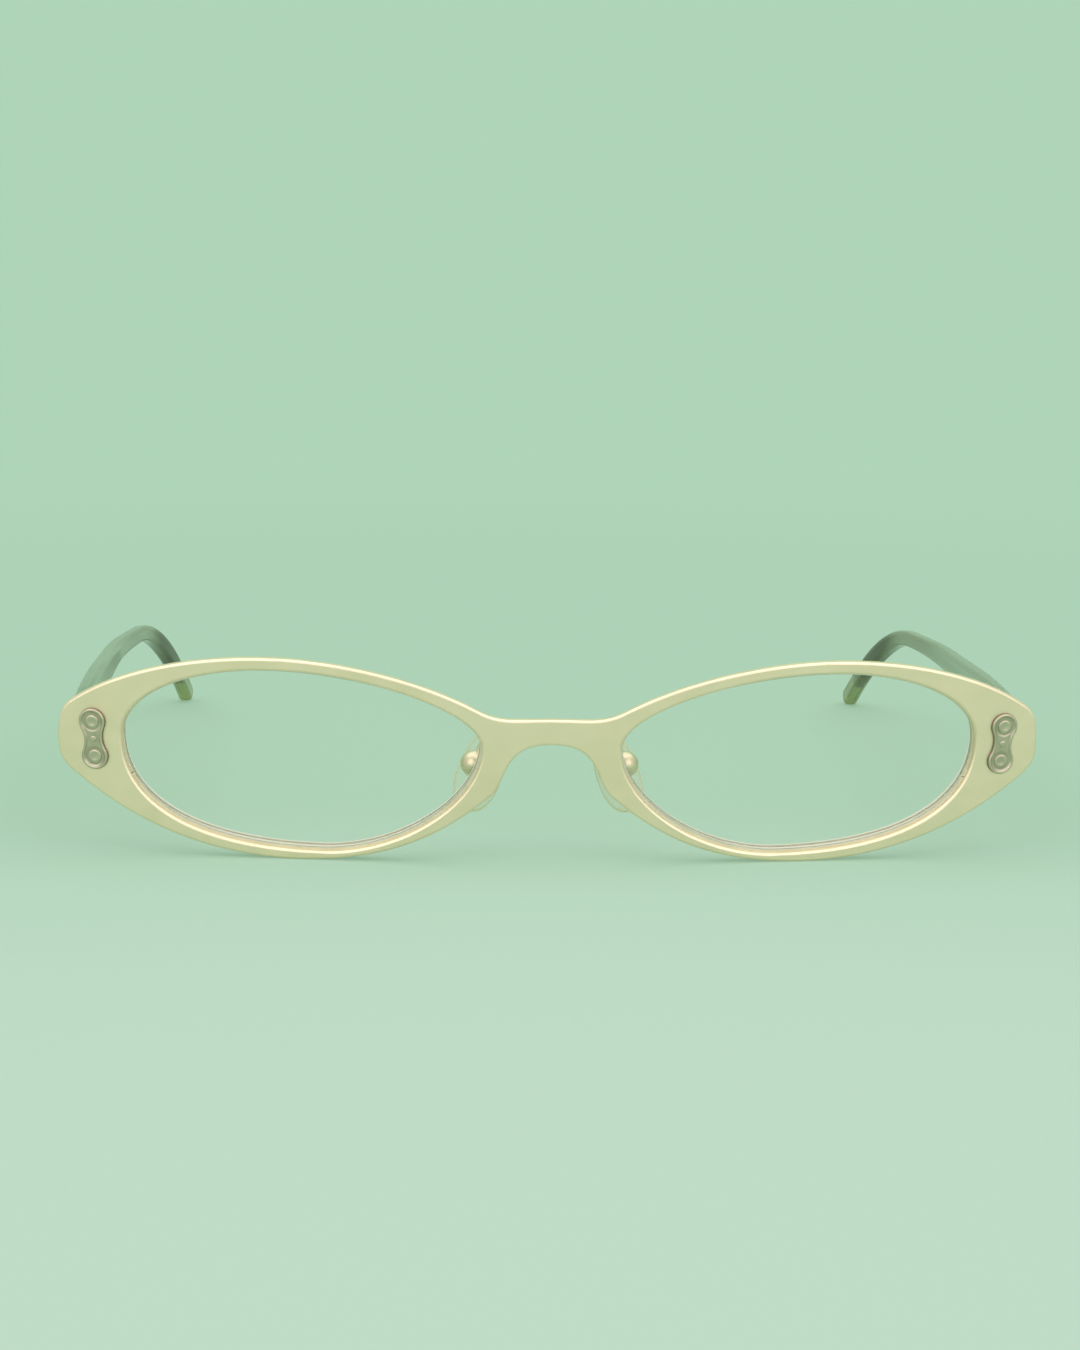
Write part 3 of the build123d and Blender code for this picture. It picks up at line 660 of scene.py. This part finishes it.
@dataclass
class Turnery:
    """Makes screws and rivets on points by Geometry Nodes."""

    shop: Workshop
    sides: int = 48
    rings: int = 14
    slot_reach: float = 3.0
    weld: float = 1e-6
    tree: ShapeGraph = field(init=False)

    def __post_init__(self) -> None:
        """Build the tree once: a turned head, a shank below it, and a slot where one is asked for."""
        graph = self.tree = ShapeGraph("turned_heads")
        radius, height = graph.input("Head Radius"), graph.input("Head Height")
        shank_radius, shank_length = graph.input("Shank Radius"), graph.input("Shank Length")
        roundness = graph.input("Roundness")
        dish_radius, dish_depth = graph.input("Dish Radius"), graph.input("Dish Depth")
        slot_width, slot_depth = graph.input("Slot Width"), graph.input("Slot Depth")
        material = graph.input("Finish", "NodeSocketMaterial")

        counts = {"Size X": 1.0, "Size Y": 1.0, "Vertices X": self.sides + 1, "Vertices Y": self.rings}
        sheet = graph.add("GeometryNodeMeshGrid", None, counts)
        where = graph.add("GeometryNodeInputPosition")
        split = graph.node("ShaderNodeSeparateXYZ", None, {0: where})
        turn = (Value(graph, split.outputs[0]) + 0.5) * math.tau
        swing = (Value(graph, split.outputs[1]) + 0.5) * (math.pi / 2)
        reach = radius * (swing.sin().at_least(0.0) ** roundness)
        dish = (1 - (reach / dish_radius.at_least(SAME_PLACE)).at_most(1.0) ** 2.0) * dish_depth
        rise = height * (swing.cos().at_least(0.0) ** roundness) - dish
        x, y = reach * turn.cos(), reach * turn.sin()
        spot = graph.add("ShaderNodeCombineXYZ", None, {0: x, 1: y, 2: rise})
        dome = graph.add("GeometryNodeSetPosition", None, {"Geometry": sheet, "Position": spot})
        round_sizes = {"Vertices": self.sides, "Radius": radius}
        base = graph.add("GeometryNodeMeshCircle", {"fill_type": "NGON"}, round_sizes)
        shank_sizes = {"Vertices": self.sides, "Radius": shank_radius, "Depth": shank_length}
        shank = graph.add("GeometryNodeMeshCylinder", None, shank_sizes)
        drop = graph.add("ShaderNodeCombineXYZ", None, {2: shank_length * -0.5})
        shank = graph.add("GeometryNodeTransform", None, {"Geometry": shank, "Translation": drop})
        skin = graph.node("GeometryNodeJoinGeometry")
        for part in (base, dome):
            graph.tree.links.new(part.socket, skin.inputs[0])
        joined = Value(graph, skin.outputs[0])
        closed = graph.add("GeometryNodeMergeByDistance", None, {0: joined, "Distance": self.weld})
        head = graph.add("GeometryNodeFlipFaces", None, {0: closed})

        sizes = {0: radius * self.slot_reach, 1: slot_width, 2: slot_depth * 2.0}
        span = graph.add("ShaderNodeCombineXYZ", None, sizes)
        cutter = graph.add("GeometryNodeMeshCube", None, {"Size": span})
        top = graph.add("ShaderNodeCombineXYZ", None, {2: height})
        cutter = graph.add("GeometryNodeTransform", None, {"Geometry": cutter, "Translation": top})
        settings = {"operation": "DIFFERENCE", "solver": "EXACT"}
        cut = graph.add("GeometryNodeMeshBoolean", settings, {0: head, 1: cutter})
        slotted = graph.add(
            "GeometryNodeSwitch",
            {"input_type": "GEOMETRY"},
            {"Switch": slot_width.above(0.0), "False": head, "True": cut},
        )
        whole = graph.node("GeometryNodeJoinGeometry")
        for part in (shank, slotted):
            graph.tree.links.new(part.socket, whole.inputs[0])
        smooth = graph.add("GeometryNodeSetShadeSmooth", None, {0: Value(graph, whole.outputs[0])})

        kind = "GeometryNodeInputNamedAttribute"
        facing = graph.add(kind, {"data_type": "FLOAT_VECTOR"}, {"Name": "facing"})
        twist = graph.add(kind, {"data_type": "FLOAT"}, {"Name": "twist"})
        upright = graph.add("FunctionNodeAlignRotationToVector", {"axis": "Z"}, {"Vector": facing})
        own = graph.add("FunctionNodeAxisAngleToRotation", None, {"Axis": (0, 0, 1), "Angle": twist})
        settings = {"rotation_space": "LOCAL"}
        turned = graph.add("FunctionNodeRotateRotation", settings, {0: upright, 1: own})
        entry = Value(graph, graph.entry.outputs["Geometry"])
        sockets = {"Points": entry, "Instance": smooth, "Rotation": turned}
        graph.end(graph.add("GeometryNodeInstanceOnPoints", None, sockets), material)

    def make(
        self, name: str, head: Head, spots: list[tuple[Vector, Vector, float]], finish: Finish
    ) -> bpy.types.Object:
        """Set one kind of head on each spot.

        Args:
            name: the piece's name.
            head: the head's sizes.
            spots: the middle of each head's underside, the way it faces, and its own turn.
            finish: one of FINISHES.

        Returns:
            The piece as a plain mesh at the origin.
        """
        mesh = bpy.data.meshes.new(name)
        mesh.from_pydata([tuple(spot[0]) for spot in spots], [], [])
        mesh.attributes.new("facing", "FLOAT_VECTOR", "POINT")
        mesh.attributes.new("twist", "FLOAT", "POINT")
        ways = [part for spot in spots for part in spot[1]]
        mesh.attributes["facing"].data.foreach_set("vector", ways)
        mesh.attributes["twist"].data.foreach_set("value", [spot[2] for spot in spots])
        piece = bpy.data.objects.new(name, mesh)
        bpy.context.scene.collection.objects.link(piece)
        modifier = piece.modifiers.new("turned", "NODES")
        modifier.node_group = self.tree.tree
        given = {
            "Head Radius": head.radius,
            "Head Height": head.height,
            "Shank Radius": head.shank_radius,
            "Shank Length": head.shank_length,
            "Roundness": head.roundness,
            "Dish Radius": head.dish_radius,
            "Dish Depth": head.dish_depth,
            "Slot Width": head.slot_width,
            "Slot Depth": head.slot_depth,
            "Finish": self.shop.finishes[finish.name],
        }
        for item in self.tree.tree.interface.items_tree:
            if item.in_out == "INPUT" and item.name in given:
                modifier[item.identifier] = given[item.name]
        return flatten(piece)


def flatten(piece: bpy.types.Object) -> bpy.types.Object:
    """Turn a piece's modifiers into a plain mesh.

    Args:
        piece: an object with live modifiers.

    Returns:
        The same object, with the evaluated mesh and no modifier.
    """
    bpy.context.view_layer.update()
    evaluated = piece.evaluated_get(bpy.context.evaluated_depsgraph_get())
    mesh = bpy.data.meshes.new_from_object(evaluated)
    piece.modifiers.clear()
    piece.data = mesh
    return piece


@dataclass(frozen=True)
class Axes:
    """Where a slim solid lies: its middle, and its long, wide and thin directions."""

    middle: Vector
    long: Vector
    wide: Vector
    thin: Vector

    @classmethod
    def of(cls, places: np.ndarray) -> "Axes":
        """Find the axes of a solid from its vertices.

        Args:
            places: the vertices.

        Returns:
            The axes, with the long one up, the thin one to the front and a right-handed set.
        """
        middle = (places.min(axis=0) + places.max(axis=0)) / 2
        _, _, ways = np.linalg.svd(places - places.mean(axis=0), full_matrices=False)
        long, thin = Vector(ways[0]), Vector(ways[2])
        if long.z < 0:
            long = -long
        if thin.y > 0:
            thin = -thin
        return cls(Vector(middle), long, long.cross(thin), thin)

    def at(self, across: float, along: float, out: float) -> Vector:
        """Return the place at these distances along the wide, long and thin ways."""
        return self.middle + self.wide * across + self.long * along + self.thin * out


@dataclass
class Studio:
    """The pale floor, the soft lights and the camera of the photograph."""

    # far and near are the sweep's colours; the paler near colour is painted light on the paper in
    # front.
    far: tuple = linear(175, 212, 184)
    near: tuple = linear(191, 220, 198)
    tone_edges: tuple = (-0.5, 0.05)
    tone_shift: float = 0.02
    tone_softness: float = 0.15
    card: tuple = (0.86, 0.84, 0.82, 1.0)
    card_edges: tuple = (0.0, 0.6)
    air_level: float = 0.5
    half: float = 8.0
    # Round the glasses the floor still glows with least_even of the even colour: painted light that
    # lightens their shadow.
    lit_reach: float = 0.12
    even_reach: float = 0.45
    least_even: float = 0.42
    speck: tuple = (0.4, 0.5, 0.42, 1.0)
    most_speck: float = 0.05
    tooth_size: float = 0.9 * MM
    tooth_depth: float = 0.01 * MM
    paper_roughness: float = 0.9
    paper_shine: float = 0.1
    top_place: tuple = (0.0, -0.1, 1.1)
    top_aim: tuple = (0.0, 0.0, 0.0)
    top_size: tuple = (2.4, 2.2)
    top_power: float = 11.8
    fill_place: tuple = (0.8, -1.2, 0.5)
    fill_aim: tuple = (0.0, 0.0, 0.01)
    fill_size: tuple = (1.1, 1.0)
    fill_power: float = 3.0
    camera_place: tuple = (-21.7 * MM, -598.3 * MM, 107.78 * MM)
    bearing: float = math.radians(2.163)
    dip: float = math.radians(8.794)
    roll: float = math.radians(0.691)
    lens: float = 107.99
    film: float = 36.0
    clip: tuple = (0.01, 50.0)

    def camera(self) -> None:
        """Set the camera where the photograph was taken from."""
        data = bpy.data.cameras.new("camera")
        data.lens = self.lens
        data.sensor_width = self.film
        data.clip_start, data.clip_end = self.clip
        camera = bpy.data.objects.new("camera", data)
        bpy.context.scene.collection.objects.link(camera)
        turn = Matrix.Rotation(-self.bearing, 4, "Z")
        tilt = Matrix.Rotation(math.pi / 2 - self.dip, 4, "X")
        spin = Matrix.Rotation(self.roll, 4, "Z")
        camera.matrix_world = Matrix.Translation(self.camera_place) @ turn @ tilt @ spin
        bpy.context.scene.camera = camera

    def tone(self, graph: Graph, forward: Value) -> Value:
        """Return the sweep's colour: a little paler in front of the glasses than behind them, painted
        light where the paper in front is more brightly lit.

        Args:
            graph: the floor's or the world's tree.
            forward: how far a place or a direction lies behind the glasses, -1 to 1.

        Returns:
            The colour.
        """
        return graph.mix(forward.ramp(*self.tone_edges), self.near, self.far)

    def ground(self) -> None:
        """Lay the sweep: lit paper round the glasses that runs out into the even colour of the wall.
        The even colour glows, and under the glasses it still makes up least_even of the floor: painted
        light that lightens their shadow.
        """
        mesh = bpy.data.meshes.new("floor")
        ways = ((-1, -1), (1, -1), (1, 1), (-1, 1))
        mesh.from_pydata([(x * self.half, y * self.half, 0.0) for x, y in ways], [], [(0, 1, 2, 3)])
        graph = SurfaceGraph("floor_paper")
        split = graph.node("ShaderNodeSeparateXYZ", None, {0: graph.place})
        x, y = Value(graph, split.outputs[0]), Value(graph, split.outputs[1])
        reach = (x * x + y * y) ** 0.5
        colour = self.tone(graph, (y + self.tone_shift) / (reach + self.tone_softness))
        tooth = graph.noise(self.tooth_size, detail=4.0)
        speck = tooth.ramp(*NOISE_SPAN, 0.0, self.most_speck)
        lit = graph.add(
            "ShaderNodeBsdfPrincipled",
            None,
            {
                "Base Color": graph.mix(speck, colour, self.speck),
                "Roughness": self.paper_roughness,
                "Specular IOR Level": self.paper_shine,
                "Normal": graph.relief(tooth, self.tooth_depth),
            },
        )
        even = graph.add("ShaderNodeEmission", None, {"Color": colour, "Strength": 1.0})
        # Painted light: the floor glows with at least least_even of the even colour, also under the
        # glasses, which lightens their shadow.
        share = reach.ramp(self.lit_reach, self.even_reach, self.least_even, 1.0)
        both = graph.add("ShaderNodeMixShader", None, {0: share, 1: lit, 2: even})
        graph.node("ShaderNodeOutputMaterial", None, {"Surface": both})
        mesh.materials.append(graph.material)
        floor = bpy.data.objects.new("floor", mesh)
        bpy.context.scene.collection.objects.link(floor)

    def lamp(self, name: str, place: tuple, aim: tuple, size: tuple, power: float) -> None:
        """Hang one soft lamp.

        Args:
            name: the lamp's name.
            place, aim: where it hangs and what it faces.
            size: its width and height.
            power: its strength in watts.
        """
        data = bpy.data.lights.new(name, "AREA")
        data.shape = "RECTANGLE"
        data.size, data.size_y = size
        data.energy = power
        lamp = bpy.data.objects.new(name, data)
        bpy.context.scene.collection.objects.link(lamp)
        way = Vector(aim) - Vector(place)
        turn = way.to_track_quat("-Z", "Y").to_matrix().to_4x4()
        lamp.matrix_world = Matrix.Translation(place) @ turn

    def air(self) -> None:
        """Light the world evenly, show the sweep to the camera and glass, and white cards to metal."""
        world = bpy.data.worlds.new("studio")
        world.use_nodes = True
        graph = Graph(world.node_tree)
        graph.tree.nodes.clear()
        rays = graph.node("ShaderNodeLightPath")
        glossy = Value(graph, rays.outputs["Is Glossy Ray"])
        seen = Value(graph, rays.outputs["Is Camera Ray"])
        seen = seen.at_least(glossy).at_least(Value(graph, rays.outputs["Is Transmission Ray"]))
        way = graph.add("ShaderNodeTexCoord", output="Generated")
        forward = Value(graph, graph.node("ShaderNodeSeparateXYZ", None, {0: way}).outputs[1])
        carded = glossy * forward.ramp(*self.card_edges, 1.0, 0.0)
        shown = graph.mix(carded, self.tone(graph, forward), self.card)
        white = (1.0, 1.0, 1.0, 1.0)
        soft = graph.add("ShaderNodeBackground", None, {"Color": white, "Strength": self.air_level})
        wall = graph.add("ShaderNodeBackground", None, {"Color": shown, "Strength": 1.0})
        both = graph.add("ShaderNodeMixShader", None, {0: seen, 1: soft, 2: wall})
        graph.node("ShaderNodeOutputWorld", None, {"Surface": both})
        bpy.context.scene.world = world

    def build(self) -> None:
        """Set up the whole studio."""
        self.camera()
        self.ground()
        self.air()
        self.lamp("top_softbox", self.top_place, self.top_aim, self.top_size, self.top_power)
        across, back, up = self.fill_place
        for side in Side:
            place = (side.sign * across, back, up)
            self.lamp(side.name_of("fill"), place, self.fill_aim, self.fill_size, self.fill_power)
        bpy.context.scene.view_settings.view_transform = "Standard"


@dataclass
class Front:
    """The bowed plate, its eyewires and the lenses they hold."""

    shop: Workshop

    def build(self) -> None:
        """Finish the plate, the rings and the lenses."""
        self.shop.paint("front_plate", PLATING)
        for side in Side:
            self.shop.paint(side.name_of("eyewire"), WIRE)
            self.shop.paint(side.name_of("rim_lock"), WIRE)
            self.shop.paint(side.name_of("lens"), LENS)
            self.shop.paint(side.name_of("pad_arm"), CUP)


@dataclass
class EndShield:
    """A waisted shield with two sunk pans, its two rivets and a pin between them."""

    shop: Workshop
    turnery: Turnery
    lobe_radius: float = 1.85 * MM
    span: float = 4.8 * MM
    waist: float = 2.6 * MM
    height: float = 0.5 * MM
    edge: float = 0.22 * MM
    wall: float = 0.25
    # side_share, field_shade and pan_shade set the painted shade on the side walls, in the sunk field
    # and in the pans.
    side_share: float = 0.6
    field_depth: float = 0.17 * MM
    field_shade: float = 0.12
    pan_radius: float = 1.32 * MM
    pan_depth: float = 0.07 * MM
    pan_edges: tuple = (-0.1 * MM, 0.03 * MM)
    pan_shade: float = 0.18
    rim: float = 0.42 * MM
    rim_edges: tuple = (0.75, 1.15)
    pin_radius: float = 0.44 * MM
    pin_height: float = 0.16 * MM
    pin_shank: float = 0.8
    pin_roundness: float = 0.7
    around: int = 200
    inward: int = 44
    crowding: float = 1.25
    boss: Head = Head(
        radius=0.93 * MM,
        height=0.2 * MM,
        shank_radius=0.5 * MM,
        shank_length=0.2 * MM,
        roundness=0.5,
        dish_radius=0.6 * MM,
        dish_depth=0.09 * MM,
    )

    def outline(self) -> list[tuple[float, float, float]]:
        """Return the hourglass outline, each point with its foot on the middle line.

        Returns:
            For each point round the outline: its x, its y, and the y of the nearest
            point of the middle line.
        """
        half = self.span / 2
        narrow = self.waist / 2
        hollow = (half**2 + narrow**2 - self.lobe_radius**2) / (2 * (self.lobe_radius - narrow))
        centre = narrow + hollow
        meet = math.atan2(half, centre)
        points = []
        lobe = (math.pi / 2 + meet) * self.lobe_radius
        arc = meet * hollow
        for index in range(self.around):
            quarter, share = divmod(index * 4 / self.around, 1.0)
            run = (share if quarter % 2 == 0 else 1 - share) * (lobe + arc)
            if run < arc:
                angle = run / hollow
                x, y = centre - hollow * math.cos(angle), hollow * math.sin(angle)
            else:
                angle = (run - arc) / self.lobe_radius - meet
                x, y = self.lobe_radius * math.cos(angle), half + self.lobe_radius * math.sin(angle)
            across = 1 if quarter in (0, 3) else -1
            upward = 1 if quarter in (0, 1) else -1
            foot = min(y, half)
            points.append((x * across, y * upward, foot * upward))
        return points

    def rise(self, x: float, y: float, inset: float) -> tuple[float, float]:
        """Return how high the shield stands at a place, and how much painted shade it gets.

        Args:
            x, y: the place from the middle.
            inset: how far in from the outline it is.

        Returns:
            The height above the plate and a painted shade value from 0 to 1: full on the side walls,
            faint in the sunk field, a little more in the pans.
        """
        rounded = min(1.0, inset / self.edge)
        bulge = math.sqrt(max(0.0, 1 - (1 - rounded) ** 2))
        level = self.height * (self.wall + (1 - self.wall) * bulge)
        rim_start, rim_end = (self.rim * share for share in self.rim_edges)
        sunk = smooth_step(rim_start, rim_end, inset)
        level -= self.field_depth * sunk
        near = math.hypot(x, abs(y) - self.span / 2)
        pan_start, pan_end = (self.pan_radius + step for step in self.pan_edges)
        pan = 1 - smooth_step(pan_start, pan_end, near)
        level -= self.pan_depth * pan * sunk
        # Painted shade: full on the side walls like a dark contact line, faint in the sunk field, a
        # little more in the pans.
        side = 1 - smooth_step(0.0, self.edge * self.side_share, inset)
        return level, max(side, sunk * (self.field_shade + self.pan_shade * pan))

    def skin(self, axes: Axes, back: float) -> tuple[list, list, list]:
        """Return the shield's skin as vertices, faces and the painted shade of each vertex.

        Args:
            axes: where the shield lies.
            back: where its back lies along the thin way.

        Returns:
            Vertices, faces and painted shade values.
        """
        outline = self.outline()
        places, sunk = [], []
        for ring in range(self.inward + 1):
            share = (ring / self.inward) ** self.crowding
            for x, y, foot in outline:
                away = math.hypot(x, y - foot)
                inset = share * away
                px, py = x * (1 - share), y + (foot - y) * share
                level, hollow = self.rise(px, py, inset)
                places.append(axes.at(px, py, back + level))
                sunk.append(hollow)
        # The back outline, where the shield meets the plate, gets full painted shade.
        for x, y, _ in outline:
            places.append(axes.at(x, y, back))
            sunk.append(1.0)
        faces = []
        count = self.around
        for ring in range(self.inward):
            for index in range(count):
                after = (index + 1) % count
                row = ring * count
                faces.append((row + index, row + after, row + count + after, row + count + index))
        last = (self.inward + 1) * count
        for index in range(count):
            after = (index + 1) % count
            faces.append((last + index, last + after, after, index))
        faces.append(tuple(range(last + count - 1, last - 1, -1)))
        return places, faces, sunk

    def build(self, side: Side) -> None:
        """Make one side's shield, rivets and pin."""
        node = side.name_of("rivet_shield")
        places = self.shop.corners(node)
        axes = Axes.of(places)
        depth = (places - np.array(axes.middle)) @ np.array(axes.thin)
        back = float(depth.min())
        skin, faces, sunk = self.skin(axes, back)
        shield = self.shop.mesh_piece(side.name_of("end_shield"), skin, faces, PEWTER)
        # The sunk attribute carries each vertex's painted shade to the pewter.
        painted_shade_attribute = shield.data.attributes.new("sunk", "FLOAT", "POINT")
        painted_shade_attribute.data.foreach_set("value", sunk)
        close_seams(shield, outward=axes.thin)
        self.shop.seat(shield, "pewter", node)
        floor = back + self.height - self.field_depth - self.pan_depth
        spots = [(axes.at(0, way * self.span / 2, floor), axes.thin, 0.0) for way in (1, -1)]
        bosses = self.turnery.make(side.name_of("shield_bosses"), self.boss, spots, PEWTER)
        self.shop.seat(bosses, "pewter", side.name_of("shield_rivets"))
        pin = Head(
            radius=self.pin_radius,
            height=self.pin_height,
            shank_radius=self.pin_radius * self.pin_shank,
            shank_length=self.pin_height,
            roundness=self.pin_roundness,
        )
        spot = (axes.at(0, 0, floor + self.pan_depth), axes.thin, 0.0)
        stud = self.turnery.make(side.name_of("shield_stud"), pin, [spot], PEWTER)
        self.shop.seat(stud, "pewter")


def smooth_step(low: float, high: float, value: float) -> float:
    """Return 0 below low, 1 above high, and a smooth rise between."""
    share = min(1.0, max(0.0, (value - low) / (high - low)))
    return share * share * (3 - 2 * share)


def close_seams(piece: bpy.types.Object, outward: Vector) -> None:
    """Merge a piece's doubles and turn its faces outwards.

    Args:
        piece: the piece.
        outward: the way that its highest face has to look.
    """
    work = bmesh.new()
    work.from_mesh(piece.data)
    bmesh.ops.remove_doubles(work, verts=work.verts, dist=SAME_PLACE)
    bmesh.ops.recalc_face_normals(work, faces=work.faces)
    top = max(work.faces, key=lambda face: face.calc_center_median().dot(outward))
    if top.normal.dot(outward) < 0:
        bmesh.ops.reverse_faces(work, faces=work.faces)
    work.to_mesh(piece.data)
    work.free()
    piece.data.shade_smooth()


SLOT_TURNS = {"hinge_screw": 0.6, "rim_screw": 1.1, "pad_screw": 0.3}


@dataclass
class Screws:
    """The slotted screws of the hinges, the rim locks and the pads."""

    shop: Workshop
    turnery: Turnery
    slot_share: float = 0.3
    depth_share: float = 0.5
    end_share: float = 0.9
    roundness: float = 0.55

    def build(self, side: Side, node: str, turn: float) -> None:
        """Make one screw over the frame's plain one.

        Args:
            side: the side it is on.
            node: the plain screw's name without the side.
            turn: how far its slot is turned.
        """
        plain = side.name_of(node)
        places = self.shop.corners(plain)
        middle = places.mean(axis=0)
        _, _, ways = np.linalg.svd(places - middle, full_matrices=False)
        way = ways[0]
        along = (places - middle) @ way
        off = np.linalg.norm(places - middle - np.outer(along, way), axis=1)
        near_top = along > along.max() * self.end_share
        near_foot = along < along.min() * self.end_share
        if off[near_top].max() < off[near_foot].max():
            way, along = -way, -along
        top, foot = along.max(), along.min()
        head_radius = off.max()
        shank_radius = off[along < foot * self.end_share].max()
        under = along[off > (head_radius + shank_radius) / 2].min()
        axis_point = places[along > under - SAME_PLACE].mean(axis=0)
        centre = axis_point - way * ((axis_point - middle) @ way)
        head = Head(
            radius=head_radius,
            height=top - under,
            shank_radius=shank_radius,
            shank_length=under - foot,
            roundness=self.roundness,
            slot_width=head_radius * self.slot_share,
            slot_depth=(top - under) * self.depth_share,
        )
        spot = (Vector(centre + way * under), Vector(way), turn)
        piece = self.turnery.make(side.name_of(f"{node}_slotted"), head, [spot], STEEL)
        self.shop.seat(piece, "screw_metal", plain)


@dataclass
class Temples:
    """The acetate arms, their cores and the leaves that hinge them."""

    shop: Workshop

    def build(self, side: Side) -> None:
        """Finish one temple and what it carries."""
        self.shop.paint(side.name_of("temple"), OLIVE)
        self.shop.paint(side.name_of("temple_core"), CORE)
        self.shop.paint(side.name_of("temple_hinge"), WIRE)
        self.shop.paint(side.name_of("temple_rivets"), STEEL)
        self.shop.paint(side.name_of("front_hinge"), WIRE)


@dataclass
class NosePads:
    """The clear pads, their metal lugs and the ball cups that carry them."""

    shop: Workshop
    cup_growth: float = 1.14
    crease: float = math.radians(35)

    def cup(self, side: Side) -> None:
        """Make one ball cup a little fuller than the frame's, as it shows beside the eyewire."""
        node = side.name_of("pad_cup")
        places = self.shop.corners(node)
        middle = (places.min(axis=0) + places.max(axis=0)) / 2
        faces = [tuple(face.vertices) for face in self.shop.nodes[node].data.polygons]
        grown = middle + (places - middle) * self.cup_growth
        cup = self.shop.mesh_piece(side.name_of("ball_cup"), grown, faces, CUP)
        close_seams(cup, outward=Vector((0, 0, -1)))
        cup.data.set_sharp_from_angle(angle=self.crease)
        self.shop.seat(cup, "champagne_metal", node)

    def build(self, side: Side) -> None:
        """Finish one pad, its lug and its cup."""
        self.cup(side)
        self.shop.paint(side.name_of("nose_pad"), SILICONE)
        self.shop.paint(side.name_of("pad_lug"), STEEL)


def main() -> None:
    """Dress the frame and light it."""
    logging.basicConfig(level=logging.INFO, format="%(name)s: %(message)s")
    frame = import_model()
    shop = Workshop(frame)
    Studio().build()
    turnery = Turnery(shop)
    Front(shop).build()
    shields = EndShield(shop, turnery)
    screws = Screws(shop, turnery)
    temples = Temples(shop)
    pads = NosePads(shop)
    for side in Side:
        shields.build(side)
        temples.build(side)
        pads.build(side)
        for node, turn in SLOT_TURNS.items():
            screws.build(side, node, turn)


if __name__ == "__main__":
    main()
